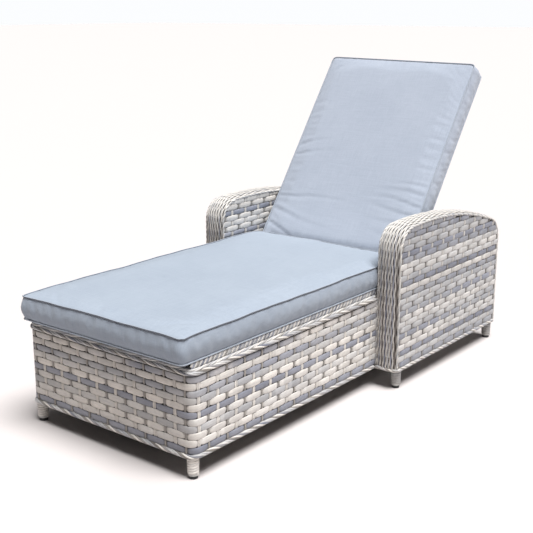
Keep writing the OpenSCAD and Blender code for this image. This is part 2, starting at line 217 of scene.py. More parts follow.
def dip_places(first, last, dip, period, step):
    """Places along a row: close together near each dip, step apart between the dips."""
    steep = np.array([0, 0.0035, 0.0065, 0.0095, 0.0130])
    flat = np.linspace(steep[-1], period / 2, 1 + round((period / 2 - steep[-1]) / step))
    half = np.concatenate([steep[:-1], flat])
    whole = np.concatenate([half[:-1], period - half[:0:-1]])
    start = dip + period * math.floor((first - dip) / period)
    u = (start + period * np.arange(math.ceil((last - start) / period) + 1)[:, None] + whole).ravel()
    return np.concatenate([[first], u[(u > first + 0.001) & (u < last - 0.001)], [last]])


def weave(strands, surface, u_ends, v0, rows, row_tones, seed, row, warp, v_top=None, step=STEP, u_shift=0.0,
          shade=1.0, painted_foot_shade=0.0):
    """Rows of flat strands over and under upright ones.
    surface(u, v) gives places and outward normals. u_ends(v) gives where a row starts and stops, or None;
    with None for v it gives the whole width. shade dims every tone and the foot darkening dims what faces the
    foot end: both are painted shade."""
    half_h = (row - GAP_ROW) / 2
    r = np.random.default_rng(seed)

    # paints shade into the tones: shade dims them all, the foot darkening dims those that face the foot end
    def shaded(tone, normal):
        return tone * (np.array(shade) - np.array(painted_foot_shade) * np.clip(-normal[:, 1:2], 0, 1))

    for k in range(rows):
        v = v0 + (k + 0.5) * row
        ends = u_ends(v)
        if ends is None:
            continue
        first, second = row_tones[k % len(row_tones)]
        dip = u_shift + (k + 1) * warp
        u = dip_places(*ends, dip, 2 * warp, step)
        away = np.abs((u - dip + warp) % (2 * warp) - warp)
        jitter = scatter(np.floor((u - u_shift) / warp / 2 + k / 2 + 0.25), k)
        place, normal = surface(u, v + SHAKE * wander(u, seed * 31 + k))
        place = place + normal * (LIFT * (1 - 2 * np.exp(-(away / DIP) ** 3)) + 0.0004 * jitter)[:, None]
        slim = 0.93 if first == BLUE else 1.03
        width = half_h * slim * (1 - NARROW * np.exp(-(away / 0.0100) ** 2)) * (1 + 0.03 * jitter)
        mix = 0.42 + 0.55 * wander(u, seed * 17 + k * 3, (1.3, 0.55, 0.21)) + 0.25 * jitter
        tone = tone_mix(first, second, mix) * (1 + 0.22 * jitter)[:, None]
        strands.lay(place, normal, width, STRAND_T * 1.15, shaded(tone, normal))
    first_u, last_u = u_ends(None)
    for k in range(math.ceil((first_u - u_shift) / warp), math.floor((last_u - u_shift) / warp) + 1):
        u = k * warp + u_shift
        top = v_top(u) if v_top else v0 + rows * row
        if top - v0 < 0.01:
            continue
        v = np.linspace(v0 - 0.002, top, max(4, int((top - v0) / row * 6)))
        rise = LIFT * 0.55 * ease(-np.cos(math.pi * ((v - v0) / row - 0.5 + k)))
        double = k % 2 == 0
        for side in ((-PAIR_GAP, PAIR_GAP) if double else (0.0,)):
            place, normal = surface(u + side + 0.0006 * wander(v, seed * 13 + k), v)
            tone = np.array(CREAM if double else GREIGE) * r.uniform(0.88, 1.08)
            width = PAIR_HALF if double else SINGLE_HALF
            strands.lay(place + normal * rise[:, None], normal, width, STRAND_T, shaded(tone, normal), ring=6)


def backing(strands, surface, u_ends, v0, rows, row, step):
    """A second layer of plain dark brown strands behind the rows, so that no light shows through the weave;
    their dark brown is painted shade in the weave's openings.
    """
    for k in range(rows):
        u = np.linspace(*u_ends, int((u_ends[1] - u_ends[0]) / step))
        place, normal = surface(u, v0 + (k + 0.5) * row)
        across = unit(np.cross(normal, np.gradient(place, axis=0)))
        strands.add(place - normal * BACKING, across, normal, row * 0.53, 0.0009, BROWN_AND_PAINTED_SHADE, ring=4)


def plane(at, u_dir, v_dir, facing):
    """A flat surface for weave()."""
    def surface(u, v):
        place = at + u[:, None] * u_dir + np.broadcast_to(v, u.shape)[:, None] * v_dir
        return place, np.broadcast_to(facing, place.shape)
    return surface


def rope(strands, path, out, radius, pitch, tones, seed, step=0.006, count=5, half=0.0029, thick=0.0022):
    """Strands twisted round a path. out faces away from the object: one direction, or one for each point."""
    path = np.asarray(path, float)
    length = run_length(path)
    s = np.linspace(0, length[-1], max(4, int(length[-1] / step)))
    centre = sampled(s, length, path)
    normal = sampled(s, length, np.broadcast_to(out, path.shape))
    tangent = unit(np.gradient(centre, axis=0))
    normal = unit(normal - tangent * np.sum(normal * tangent, -1, keepdims=True))
    side = np.cross(tangent, normal)
    for k in range(count):
        a = TAU * (s / pitch + k / count)
        radial = normal * np.cos(a)[:, None] + side * np.sin(a)[:, None]
        tone = tone_mix(*tones[k % len(tones)], 0.5 + 0.6 * wander(s, seed + k))
        strands.lay(centre + radial * radius, -radial, half, thick, tone, flat=0.8)


def wrap(strands, centre, axis, outline, pitch, length, tones, seed, half_t, per_turn=20, cover=0.97):
    """Strands wound side by side round an axis, as many as there are pairs of tones.
    outline(a, s) gives the offset from the axis and its outward normal at angle a and length s."""
    starts = len(tones)
    turns = length / (pitch * starts)
    for k, (first, second) in enumerate(tones):
        a = np.linspace(0, TAU * turns, int(turns * per_turn) + 1)
        s = a / TAU * pitch * starts
        offset, normal = outline(a + TAU * k / starts, s)
        tone = tone_mix(first, second, 0.5 + 0.7 * wander(s, seed + k, (0.31, 0.12, 0.05)))
        path = np.asarray(centre) + axis * s[:, None] + offset
        strands.lay(path, normal, pitch / 2 * cover, half_t, tone, ring=6)


def round_outline(radius, side, up, taper=0.0, length=1.0):
    """A circle for wrap(), narrower by taper where the length starts."""
    def outline(a, s):
        normal = np.cos(a)[:, None] * side + np.sin(a)[:, None] * up
        return normal * (radius - taper * (1 - s / length))[:, None], normal
    return outline


def box_outline(half, side, up, corner=0.30):
    """A rounded square for wrap()."""
    def outline(a, s):
        c, z = np.cos(a), np.sin(a)
        k = 1 / (np.abs(c) ** (1 / corner) + np.abs(z) ** (1 / corner)) ** corner * half
        nx, nz = (np.sign(q) * np.abs(q) ** (1 / corner - 1) for q in (c, z))
        return (k * c)[:, None] * side + (k * z)[:, None] * up, unit(nx[:, None] * side + nz[:, None] * up)
    return outline


# ------------------------------ materials
def nodes_of(name):
    material = bpy.data.materials.new(name)
    material.use_nodes = True
    tree = material.node_tree
    return material, tree, tree.nodes["Principled BSDF"]


def add_node(tree, kind, **values):
    node = tree.nodes.new(kind)
    for key, value in values.items():
        if hasattr(node, key):
            setattr(node, key, value)
        else:
            node.inputs[key].default_value = value
    return node


def feed(tree, node, values):
    """Links each value to its socket when it is another node's output, or else sets it."""
    for socket, value in values.items():
        if hasattr(value, "node"):
            tree.links.new(value, node.inputs[socket])
        else:
            node.inputs[socket].default_value = value


def maths(tree, operation, a, b=None):
    node = add_node(tree, "ShaderNodeMath", operation=operation)
    feed(tree, node, {0: a} if b is None else {0: a, 1: b})
    return node.outputs[0]


def weighted(tree, offset, *parts, clamp=False):
    """offset plus each value times its weight."""
    total = offset
    for value, weight in parts:
        total = maths(tree, "ADD", maths(tree, "MULTIPLY", value, weight), total)
    total.node.use_clamp = clamp
    return total


def scaled(tree, vector, scale):
    node = add_node(tree, "ShaderNodeVectorMath", operation="MULTIPLY")
    feed(tree, node, {0: vector, 1: scale})
    return node.outputs[0]


def noise(tree, vector, scale, detail=2.0, roughness=0.5):
    node = add_node(tree, "ShaderNodeTexNoise", Scale=scale, Detail=detail, Roughness=roughness)
    tree.links.new(vector, node.inputs["Vector"])
    return node.outputs["Fac"]


def mixed(tree, a, b, factor, mode="MIX"):
    node = add_node(tree, "ShaderNodeMix", data_type="RGBA", blend_type=mode)
    feed(tree, node, {0: factor, 6: a, 7: b})
    return node.outputs[2]


def bump(tree, shader, height, strength, distance):
    node = add_node(tree, "ShaderNodeBump", Strength=strength, Distance=distance)
    tree.links.new(height, node.inputs["Height"])
    tree.links.new(node.outputs["Normal"], shader.inputs["Normal"])


def strand_material():
    """Extruded plastic strand: its own tone, fine streaks along it, mottling and a soft shine."""
    material, tree, shader = nodes_of("strand")
    tone = add_node(tree, "ShaderNodeAttribute", attribute_name="tone").outputs["Color"]
    strand = add_node(tree, "ShaderNodeAttribute", attribute_name="strand").outputs["Vector"]
    streak = noise(tree, scaled(tree, strand, (9.0, 900.0, 11.0)), 1.0, 3.0, 0.6)
    mottle = noise(tree, scaled(tree, strand, (55.0, 160.0, 7.0)), 1.0, 3.0, 0.55)
    worn = noise(tree, scaled(tree, strand, (260.0, 420.0, 5.0)), 1.0, 2.0, 0.5)
    streaked = mixed(tree, tone, (0.30, 0.30, 0.335, 1), weighted(tree, -0.874, (streak, 1.9), clamp=True))
    level = weighted(tree, 0.80, (mottle, 0.42))
    shade = add_node(tree, "ShaderNodeCombineColor")
    feed(tree, shade, {0: level, 1: level, 2: level})
    feed(tree, shader, {"Base Color": mixed(tree, streaked, shade.outputs[0], 1.0, "MULTIPLY"),
                        "Roughness": weighted(tree, 0.36, (worn, 0.22))})
    bump(tree, shader, weighted(tree, 0.0, (streak, 0.7), (worn, 0.3)), 0.35, 0.0006)
    return material


def fabric_material(name, colour, light, tilt=0.0, thread=0.0011):
    """Outdoor cloth: a plain weave of slubby threads, heathered in two tones. tilt turns it with the back."""
    material, tree, shader = nodes_of(name)
    turn = add_node(tree, "ShaderNodeMapping", Rotation=(-tilt, 0, 0))
    place = add_node(tree, "ShaderNodeTexCoord").outputs["Object"]
    tree.links.new(place, turn.inputs["Vector"])
    place = turn.outputs["Vector"]
    parts = add_node(tree, "ShaderNodeSeparateXYZ")
    tree.links.new(place, parts.inputs[0])
    x, y, z = parts.outputs
    warp_line = maths(tree, "SINE", maths(tree, "MULTIPLY", x, math.pi / thread))
    weft_line = maths(tree, "SINE", maths(tree, "MULTIPLY", maths(tree, "ADD", y, z), math.pi / thread))
    cells = maths(tree, "MULTIPLY", warp_line, weft_line)
    slub_x = noise(tree, scaled(tree, place, (14.0, 420.0, 420.0)), 1.0, 3.0, 0.6)
    slub_y = noise(tree, scaled(tree, place, (420.0, 14.0, 14.0)), 1.0, 3.0, 0.6)
    heather = noise(tree, place, 260.0, 3.0, 0.6)
    cloud = noise(tree, place, 5.0, 2.0, 0.5)
    factor = weighted(tree, -1.05, (slub_x, 0.9), (slub_y, 0.9), (heather, 0.8), (cloud, 0.5), (cells, 0.10),
                      clamp=True)
    feed(tree, shader, {"Base Color": mixed(tree, (*colour, 1), (*light, 1), factor), "Roughness": 0.88,
                        "Sheen Weight": 0.25, "Sheen Roughness": 0.5, "Specular IOR Level": 0.25})
    bump(tree, shader, weighted(tree, 0.0, (cells, 0.5), (heather, 0.8)), 0.5, 0.00035)
    return material


def plain_material(name, colour, worn, grain, patches, rough, strength, metallic=0.0):
    """A smooth coat with patches of a worn colour, where its roughness rises from rough[0] by up to rough[1].
    grain and patches are each a noise's scale and detail."""
    material, tree, shader = nodes_of(name)
    place = add_node(tree, "ShaderNodeTexCoord").outputs["Object"]
    cloud = noise(tree, place, *patches)
    feed(tree, shader, {"Base Color": mixed(tree, (*colour, 1), (*worn, 1), cloud), "Metallic": metallic,
                        "Roughness": weighted(tree, rough[0], (cloud, rough[1]))})
    bump(tree, shader, noise(tree, place, *grain), strength, 0.0004)
    return material


def metal_material(name, colour, roughness, metallic=0.0):
    """Powder-coated or zinc-plated tube: a slight orange peel and uneven sheen."""
    worn = tuple(c * 0.78 for c in colour)
    rough = (roughness - 0.09, 0.18)
    return plain_material(name, colour, worn, (900.0, 2.0), (22.0, 4.0), rough, 0.12, metallic)


STRAND = strand_material()
SEAT_CLOTH = fabric_material("seat_cloth", (0.275, 0.319, 0.385), (0.375, 0.425, 0.490))
# painted shade: the seat's boxing gets a darker, greyer copy of the seat cloth
SEAT_SIDE_PAINTED_SHADE_CLOTH = fabric_material("seat_side_painted_shade_cloth", (0.230, 0.265, 0.322), (0.312, 0.352, 0.410))
# painted light: the back cushion's cloth is a lighter copy of the seat cloth, though both are one fabric
BACK_PAINTED_LIGHT_CLOTH = fabric_material("back_painted_light_cloth", (0.324, 0.364, 0.440), (0.437, 0.480, 0.558), BACK_ANGLE)
# painted shadow: a dark copy of the piping cloth for the seat's upper cord, where the shadow under the cord
# falls
PIPING_PAINTED_SHADOW = fabric_material("piping_painted_shadow", (0.085, 0.095, 0.12), (0.17, 0.185, 0.22), thread=0.0008)
# painted shade: a darker copy of the piping cloth for the back cushion's top edge
PIPING_PAINTED_SHADE = fabric_material("piping_painted_shade", (0.22, 0.255, 0.31), (0.32, 0.365, 0.43), thread=0.0008)
PIPING_PALE = fabric_material("piping_pale", (0.30, 0.34, 0.40), (0.42, 0.46, 0.52), thread=0.0008)
TUBE = metal_material("tube_coating", (0.50, 0.49, 0.47), 0.42)
BRACKET = metal_material("bracket_coating", (0.24, 0.24, 0.24), 0.40)
ZINC = metal_material("zinc", (0.62, 0.62, 0.60), 0.34, 1.0)
RUBBER = plain_material("glide_rubber", (0.012, 0.012, 0.013), (0.04, 0.04, 0.042), (700.0, 3.0), (60.0, 4.0),
                        (0.45, 0.25), 0.25)

finishes = {"leg_glides": RUBBER}
finishes.update(dict.fromkeys(("arm_bolts", "arm_spacers", "hinge_pins"), ZINC))
finishes.update(dict.fromkeys(
    ("hinge_brackets", "notch_rail_left", "notch_rail_right", "prop_arms", "prop_foot_rod"), BRACKET))
for name, node in frame["nodes"].items():
    node.data.materials.clear()
    node.data.materials.append(finishes.get(name, TUBE))

# ------------------------------ base weave
SKIN = 0.0031         # the strands' middle surface lies this far inside the woven faces
EDGE = 0.001          # open space at the end of a row
BASE_ROWS = 11
BASE_ROW = (WEAVE_Z1 - WEAVE_Z0) / BASE_ROWS
BASE_TONES = [        # from the top row down
    (BLUE, CREAM), (CREAM, PALE), (BLUE, GREY), (PALE, GREY), (CREAM, CREAM), (BLUE, SLATE),
    (PALE, CREAM), (GREY, PALE), (CREAM, PALE), (CREAM, PALE), (BLUE, SLATE)]
FOOT_SPACES = 8.5     # spaces between uprights from the middle of the foot end to the middle of a corner
BASE_WARP = (HALF_W - CORNER_R + math.pi / 4 * (CORNER_R - SKIN)) / FOOT_SPACES


def base_outline(y_far):
    """A surface for weave(): from the right side round the foot end to the left side; and its length."""
    r = CORNER_R - SKIN
    straight = HALF_W - CORNER_R
    bend = math.pi / 2 * r
    side = y_far - FOOT_Y - CORNER_R
    middle = side + bend + straight

    def surface(u, v):
        d = np.abs(u - middle)
        hand = np.sign(u - middle)
        t = np.clip((d - straight) / r, 0, math.pi / 2)
        x = hand * (np.minimum(d, straight) + r * np.sin(t))
        y = FOOT_Y + CORNER_R - r * np.cos(t) + np.maximum(d - straight - bend, 0)
        place = np.column_stack([x, y, np.broadcast_to(v, u.shape)])
        return place, np.column_stack([hand * np.sin(t), -np.cos(t), np.zeros(len(u))])
    return surface, 2 * middle


seen_y = ARM_Y0 + 0.012     # behind this the arms hide the base's sides
base_surface, base_len = base_outline(seen_y)
base = Strands()
# painted shade: the base's strands that face the foot end are darkened, and warmed a little
weave(base, base_surface, lambda v: (0.0, base_len), WEAVE_Z0, BASE_ROWS, BASE_TONES[::-1], 3, row=BASE_ROW,
      warp=BASE_WARP, u_shift=base_len / 2 % BASE_WARP, painted_foot_shade=(0.20, 0.22, 0.24))
backing(base, base_surface, (0.0, base_len), WEAVE_Z0, BASE_ROWS, BASE_ROW, 0.009)
base.make("base_weave", "base", ["foot_panel"])

for s, side_name in SIDES:
    rear = Strands()
    weave(rear, plane(s * (HALF_W - SKIN) * X, Y, Z, s * X), lambda v: (seen_y, HEAD_Y - 0.004), WEAVE_Z0,
          BASE_ROWS, BASE_TONES[::-1], 5, row=BASE_ROW, warp=BASE_WARP, step=0.0095)
    rear.make(f"side_weave_{side_name}", "base", [f"side_panel_{side_name}"])

head = Strands()
weave(head, plane((HEAD_Y - SKIN) * Y, X, Z, Y), lambda v: (head_lo.x + 2 * EDGE, head_hi.x - 2 * EDGE),
      head_lo.z, BASE_ROWS, BASE_TONES[3:] + BASE_TONES[:3], 8, row=(head_hi.z - head_lo.z) / BASE_ROWS,
      warp=BASE_WARP)
head.make("head_weave", "base", ["head_panel"])

DECK_ROWS = 28
deck = Strands()
weave(deck, plane((deck_hi.z - 0.0035) * Z, X, Y, Z), lambda v: (deck_lo.x + EDGE, deck_hi.x - EDGE),
      deck_lo.y, DECK_ROWS, [(GREIGE, PALE), (PALE, GREY), (GREY, BLUE)], 9,
      row=(deck_hi.y - deck_lo.y) / DECK_ROWS, step=0.010, warp=0.045)
deck.make("seat_deck_weave", "base", ["seat_deck"])

# ------------------------------ ropes round the base
ROPE_TONES = [(CREAM, CREAM), (GREIGE, BROWN_AND_PAINTED_SHADE), (PALE, GREY), (GREY, PALE), (GREIGE, SLATE)]
CORD_TONES = [(GREY, PALE), (CREAM, PALE), (GREIGE, GREY)]
ROPE_OUT = 0.006      # how far the ropes stand proud of the weave
ROPE_R = 0.007
ROPE_PITCH = 0.112    # length of one twist
LAY_R = 0.0047        # distance of a rope's strands from its middle


def mid_z(node):
    lo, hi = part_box(node)
    return (lo.z + hi.z) / 2


def base_rope(strands, z, inset, *args, **kwargs):
    """A rope round the base's sides and foot end, inset from its outer faces."""
    r = CORNER_R - inset
    straight = HALF_W - CORNER_R
    bend = np.linspace(0, math.pi / 2, 12)
    around = np.column_stack([-np.cos(bend), -np.sin(bend)])
    left = np.array([-straight, FOOT_Y + CORNER_R]) + r * around
    half = np.concatenate([[[-HALF_W + inset, ARM_Y0 - ROPE_OUT]], left])
    out = np.concatenate([[[-1, 0]], around])
    path, out = (np.concatenate([part, part[::-1] * (-1, 1)]) for part in (half, out))
    rope(strands, np.column_stack([path, np.full(len(path), z)]), np.column_stack([out, np.zeros(len(out))]),
         *args, **kwargs)


top_rope = Strands()
base_rope(top_rope, mid_z("base_top_rope") + 0.0015, ROPE_R - ROPE_OUT, LAY_R, ROPE_PITCH, ROPE_TONES, 21)
# a thinner cord closes the corner between the rope and the wrapped rail
base_rope(top_rope, mid_z("base_top_rope") + 0.0105, 0.0042, 0.0026, -0.084, CORD_TONES, 22, count=3,
          half=0.0028)
top_rope.make("top_rope", "base", ["base_top_rope"])
bottom_rope = Strands()
base_rope(bottom_rope, mid_z("base_bottom_rope"), ROPE_R - ROPE_OUT, LAY_R, 0.100, ROPE_TONES, 21)
bottom_rope.make("bottom_rope", "base", ["base_bottom_rope"])

lo, hi = (np.array(c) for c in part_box("head_rope"))
middle = (lo + hi) / 2
ends = [[lo[0], *middle[1:]], [hi[0], *middle[1:]]]
head_rope = Strands()
rope(head_rope, ends, Y, 0.0043, ROPE_PITCH, ROPE_TONES, 25)
head_rope.make("head_rope_strands", "base", ["head_rope"])

# ------------------------------ wrapped rails and legs
WRAP_PITCH = 0.0098
RAIL_STRAND = 0.0015  # half the thickness of the strands round the rails
RAIL_TONES = [(PALE, CREAM), (GREY, SLATE), (PALE, GREY), (SLATE, GREIGE), (CREAM, PALE), (GREY, BLUE)]
LEG_PITCH = 0.0082
LEG_TAPER = 0.0015
for where, axis, seed in (("left", Y, 31), ("right", Y, 31), ("foot", X, 33)):
    lo, hi = (np.array(c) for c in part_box(f"top_rail_{where}"))
    start = lo * axis + (lo + hi) / 2 * (1 - axis)
    outline = box_outline((hi[2] - lo[2]) / 2 - RAIL_STRAND, np.cross(axis, Z), Z)
    rail = Strands()
    wrap(rail, start, axis, outline, WRAP_PITCH, (hi - lo) @ axis, RAIL_TONES, seed, RAIL_STRAND, 28, 0.86)
    rail.make(f"rail_wrap_{where}", "base", [f"top_rail_{where}"])

for kind, tones in (("foot", (CREAM, CREAM)), ("arm_front", (GREIGE, GREY)), ("arm_rear", (GREIGE, GREY))):
    for s, side_name in SIDES:
        lo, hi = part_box(f"{kind}_leg_{side_name}")
        centre = (lo + hi) / 2
        height = WEAVE_Z0 - 0.008 - lo.z
        outline = round_outline((hi.x - lo.x) / 2, X, Y, LEG_TAPER, height)
        leg = Strands()
        wrap(leg, [centre.x, centre.y, lo.z + 0.0035], Z, outline, LEG_PITCH, height, [tones], 41, 0.0017, 28)
        leg.make(f"{kind}_leg_wrap_{side_name}", "base")

# ------------------------------ arms
ARM_TOP_R = 1.600     # radius of the arm's top
ARM_CREST = 0.198     # the top is highest this far behind the arm's front
FRONT_R = front_band_hi.y - front_band_lo.y
REAR_R = rear_band_hi.y - rear_band_lo.y
ARM_LOW, ARM_Z = front_band_lo.z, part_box("arm_top_band_left")[1].z
TOP_C = np.array([ARM_Y0 + ARM_CREST, ARM_Z - ARM_TOP_R])
HALF_ARM = (ARM_X1 - HALF_W) / 2


def corner_centre(y, r):
    """Centre (y, z) of a corner of radius r that runs smoothly into the arm's top."""
    return np.array([y, TOP_C[1] + math.sqrt((ARM_TOP_R - r) ** 2 - (y - TOP_C[0]) ** 2)])


FRONT_C = corner_centre(ARM_Y0 + FRONT_R, FRONT_R)
REAR_C = corner_centre(ARM_Y1 - REAR_R, REAR_R)
FRONT_A, REAR_A = (math.atan2(*(centre - TOP_C)[::-1]) for centre in (FRONT_C, REAR_C))


def arm_outline(inset, z0, step=0.006):
    """Points (y, z) and outward normals up the arm's front, over its top and down its rear."""
    pts, outs = [], []

    def line(p, q, normal):
        n = max(2, int(math.dist(p, q) / step))
        t = np.arange(n)[:, None] / n
        pts.append(np.array(p) * (1 - t) + np.array(q) * t)
        outs.append(np.tile(normal, (n, 1)))

    def arc(centre, r, a0, a1):
        n = max(4, int(abs(a1 - a0) * r / step))
        a = a0 + (a1 - a0) * np.arange(n) / n
        outs.append(np.column_stack([np.cos(a), np.sin(a)]))
        pts.append(centre + r * outs[-1])
    front, rear = ARM_Y0 + inset, ARM_Y1 - inset
    line((front, z0), (front, FRONT_C[1]), (-1, 0))
    arc(FRONT_C, FRONT_R - inset, math.pi, FRONT_A)
    arc(TOP_C, ARM_TOP_R - inset, FRONT_A, REAR_A)
    arc(REAR_C, REAR_R - inset, REAR_A, 0)
    line((rear, REAR_C[1]), (rear, z0), (1, 0))
    return np.concatenate([*pts, [[rear, z0]]]), np.concatenate([*outs, [[1, 0]]])


def arm_height(y, inset):
    """Height of the arm's outline above y."""
    centre, r = TOP_C, ARM_TOP_R
    if y < FRONT_C[0]:
        centre, r = FRONT_C, FRONT_R
    elif y > REAR_C[0]:
        centre, r = REAR_C, REAR_R
    return centre[1] + math.sqrt(max(0.0, (r - inset) ** 2 - (y - centre[0]) ** 2))


def arm_ends(z, inset):
    """Where the arm's outline starts and stops at height z, or None above it."""
    if z is None:
        return ARM_Y0 + inset, ARM_Y1 - inset
    pts, _ = arm_outline(inset, ARM_LOW, 0.003)
    inside = pts[pts[:, 1] >= z, 0]
    return (inside.min(), inside.max()) if len(inside) >= 4 else None


ARM_EDGE = 0.009      # the side weave ends this far inside the arm's outline
ARM_ROWS = 24
ARM_ROW = (ARM_Z - ARM_EDGE - ARM_LOW) / ARM_ROWS
ARM_WARP = 0.0400     # distance between upright strands on the arms and the back
# painted shade: the outer faces' strands are darkened, and cooled a little, against the inner faces
ARM_PAINTED_SHADE = (0.84, 0.85, 0.87)
ARM_TONES = [         # from the bottom row up
    (GREY, BLUE), (PALE, GREY), (BLUE, SLATE), (PALE, CREAM), (CREAM, PALE), (BLUE, GREY), (GREY, PALE),
    (CREAM, PALE), (PALE, CREAM), (GREY, BLUE), (PALE, GREY), (GREY, PALE), (BLUE, GREY), (CREAM, CREAM),
    (BLUE, SLATE), (GREY, PALE), (CREAM, PALE), (PALE, CREAM), (GREY, BLUE), (BLUE, SLATE), (PALE, GREY),
    (GREY, PALE), (BLUE, GREY), (GREY, BLUE)]
INNER_TONES = [
    (PALE, GREY), (CREAM, PALE), (BLUE, GREY), (CREAM, PALE), (BLUE, PALE), (CREAM, PALE), (GREY, BLUE),
    (CREAM, PALE), (PALE, CREAM), (GREY, BLUE), (PALE, GREY), (BLUE, GREY), (CREAM, PALE), (GREY, PALE),
    (CREAM, PALE), (CREAM, PALE), (PALE, GREY), (BLUE, GREY), (CREAM, PALE), (PALE, CREAM), (CREAM, PALE),
    (BLUE, SLATE), (CREAM, CREAM), (CREAM, CREAM)]


def arm_faces(s, side_name):
    """The woven outer and inner face of an arm; the outer face's strands get a painted shade."""
    # shade dims the outer face's tones: painted shade
    for face, x, facing, tones, shade in (("outer", ARM_X1 - SKIN, 1, ARM_TONES, ARM_PAINTED_SHADE),
                                          ("inner", HALF_W + SKIN, -1, INNER_TONES, 1.0)):
        strands = Strands()
        weave(strands, plane(s * x * X, Y, Z, s * facing * X), lambda v: arm_ends(v, ARM_EDGE), ARM_LOW,
              ARM_ROWS, tones, 50 + s + 7 * facing, row=ARM_ROW, warp=ARM_WARP,
              v_top=lambda u: arm_height(u, ARM_EDGE - 0.002), shade=shade)
        strands.make(f"arm_{face}_weave_{side_name}", "base", [f"arm_{face}_panel_{side_name}"])


BAND_STRANDS = 14     # long strands across an arm's border
CROSS = 0.027         # distance between the border's cross strands
BAND_WAVE = 0.0011    # how far its long strands lean to one side and the other
BAND_RISE = 0.0012    # how far all its strands rise and fall
BAND_HALF = 0.0026    # half the width of its strands
LONG_T, CROSS_T = 0.0019, 0.0012     # half the thickness of its long and of its cross strands
CROWN = 0.010         # how far the border swells in the middle of the arm's width
CROWN_POWER = 2.6     # the higher this is, the flatter the border's middle
CROWN_DROP = 0.0045   # the border's edges lie this far below the arm's outline
BAND_TONES = [GREIGE, SLATE, BROWN_AND_PAINTED_SHADE, SLATE, GREY, BLUE, BROWN_AND_PAINTED_SHADE]


def band_place(t, yz, out, s):
    """Places on the border: t runs from -1 at the arm's inner edge to 1 at its outer one."""
    swell = CROWN * (1 - np.abs(t) ** CROWN_POWER) - CROWN_DROP
    return np.column_stack([s * (HALF_W + HALF_ARM + t * (HALF_ARM - 0.0015)), yz + out * swell[:, None]])


def arm_border(s, side_name):
    """A plait of strands over a dark brown sheet, whose colour paints the shade between them, up the arm's
    front, over its top and down its rear.
    """
    pts, outs = arm_outline(0.004, ARM_LOW - 0.004)
    length = run_length(pts)
    facing = np.column_stack([np.zeros(len(outs)), outs])
    sheet = np.column_stack([np.full(len(pts), s * (HALF_W + HALF_ARM)), pts - outs * 0.0075])
    band = Strands()
    across = unit(np.cross(facing, np.gradient(sheet, axis=0)))
    # the sheet's dark brown is painted shade, seen through the plait's gaps
    band.add(sheet, across, facing, HALF_ARM - 0.006, 0.0012, BROWN_AND_PAINTED_SHADE, flat=0.3)
    for k in range(BAND_STRANDS):
        t = -1 + 2 * (k + 0.5) / BAND_STRANDS
        phase = math.pi * (length / CROSS + k)
        normal = unit(facing + 0.55 * s * np.sign(t) * abs(t) ** CROWN_POWER * X)
        place = band_place(t + BAND_WAVE / HALF_ARM * np.cos(phase), pts, outs, s)
        place = place + normal * (BAND_RISE * np.cos(phase + math.pi / 2))[:, None]
        height = np.clip((place[:, 2] - ARM_LOW) / (ARM_Z - ARM_LOW), 0, 1)
        if k % 2:
            tone = tone_mix(GREIGE, CREAM, 0.70 + 0.5 * height ** 3 + 0.25 * wander(length, 60 + k))
        else:
            mix = 0.10 + 0.75 * height ** 4 + 0.35 * wander(length, 80 + k)
            tone = tone_mix(BAND_TONES[k // 2], PALE, mix)
        band.lay(place, normal, BAND_HALF, LONG_T, tone, ring=6, flat=0.85)
    for i, d in enumerate(np.arange(CROSS / 2, length[-1], CROSS)):
        t = np.linspace(-0.99, 0.99, 25)
        out = unit(sampled(d, length, outs))
        normal = np.array([0, *out])
        sink = 0.0016 + BAND_RISE * np.cos(math.pi * ((t + 1) / 2 * BAND_STRANDS + i + 0.5))
        place = band_place(t, sampled(d, length, pts), out, s) - normal * sink[:, None]
        band.lay(place, normal, BAND_HALF, CROSS_T, BROWN_AND_PAINTED_SHADE, ring=6)
    band.make(f"arm_border_{side_name}", "base",
              [f"arm_{part}_band_{side_name}" for part in ("front", "top", "rear")])


def arm_edges(s, side_name):
    """A thin braid along both edges of an arm's border."""
    pts, _ = arm_outline(0.0075, ARM_LOW)
    edge = Strands()
    for x, out in ((ARM_X1 - 0.002, s * X), (HALF_W + 0.002, -s * X)):
        rope(edge, np.column_stack([np.full(len(pts), s * x), pts]), out, 0.0022, 0.040,
             [(CREAM, PALE), (PALE, GREY)], 90, count=2, half=0.0032, step=0.005)
    edge.make(f"arm_edge_braid_{side_name}", "base")


def arm_bottom(s, side_name):
    """The rope round an arm's lower rim, from the base and back to it."""
    inset, bend = ROPE_R - ROPE_OUT, 2 * ROPE_R
    front, rear = ARM_Y0 + inset, ARM_Y1 - inset
    path, out = [[[HALF_W + 0.003, front]]], [[[0, -1]]]
    for y, a0 in ((front + bend, -math.pi / 2), (rear - bend, 0)):
        a = a0 + np.linspace(0, math.pi / 2, 7)
        out.append(np.column_stack([np.cos(a), np.sin(a)]))
        path.append([ARM_X1 - inset - bend, y] + bend * out[-1])
    path = np.concatenate([*path, [[HALF_W + 0.003, rear]]]) * (s, 1)
    out = np.concatenate([*out, [[0, 1]]]) * (s, 1)
    node = f"arm_bottom_rope_{side_name}"
    strands = Strands()
    rope(strands, np.column_stack([path, np.full(len(path), mid_z(node))]),
         np.column_stack([out, np.zeros(len(out))]), 0.0043, 0.066, ROPE_TONES, 95)
    strands.make(f"arm_bottom_braid_{side_name}", "base", [node])


for side in SIDES:
    arm_faces(*side)
    arm_border(*side)
    arm_edges(*side)
    arm_bottom(*side)

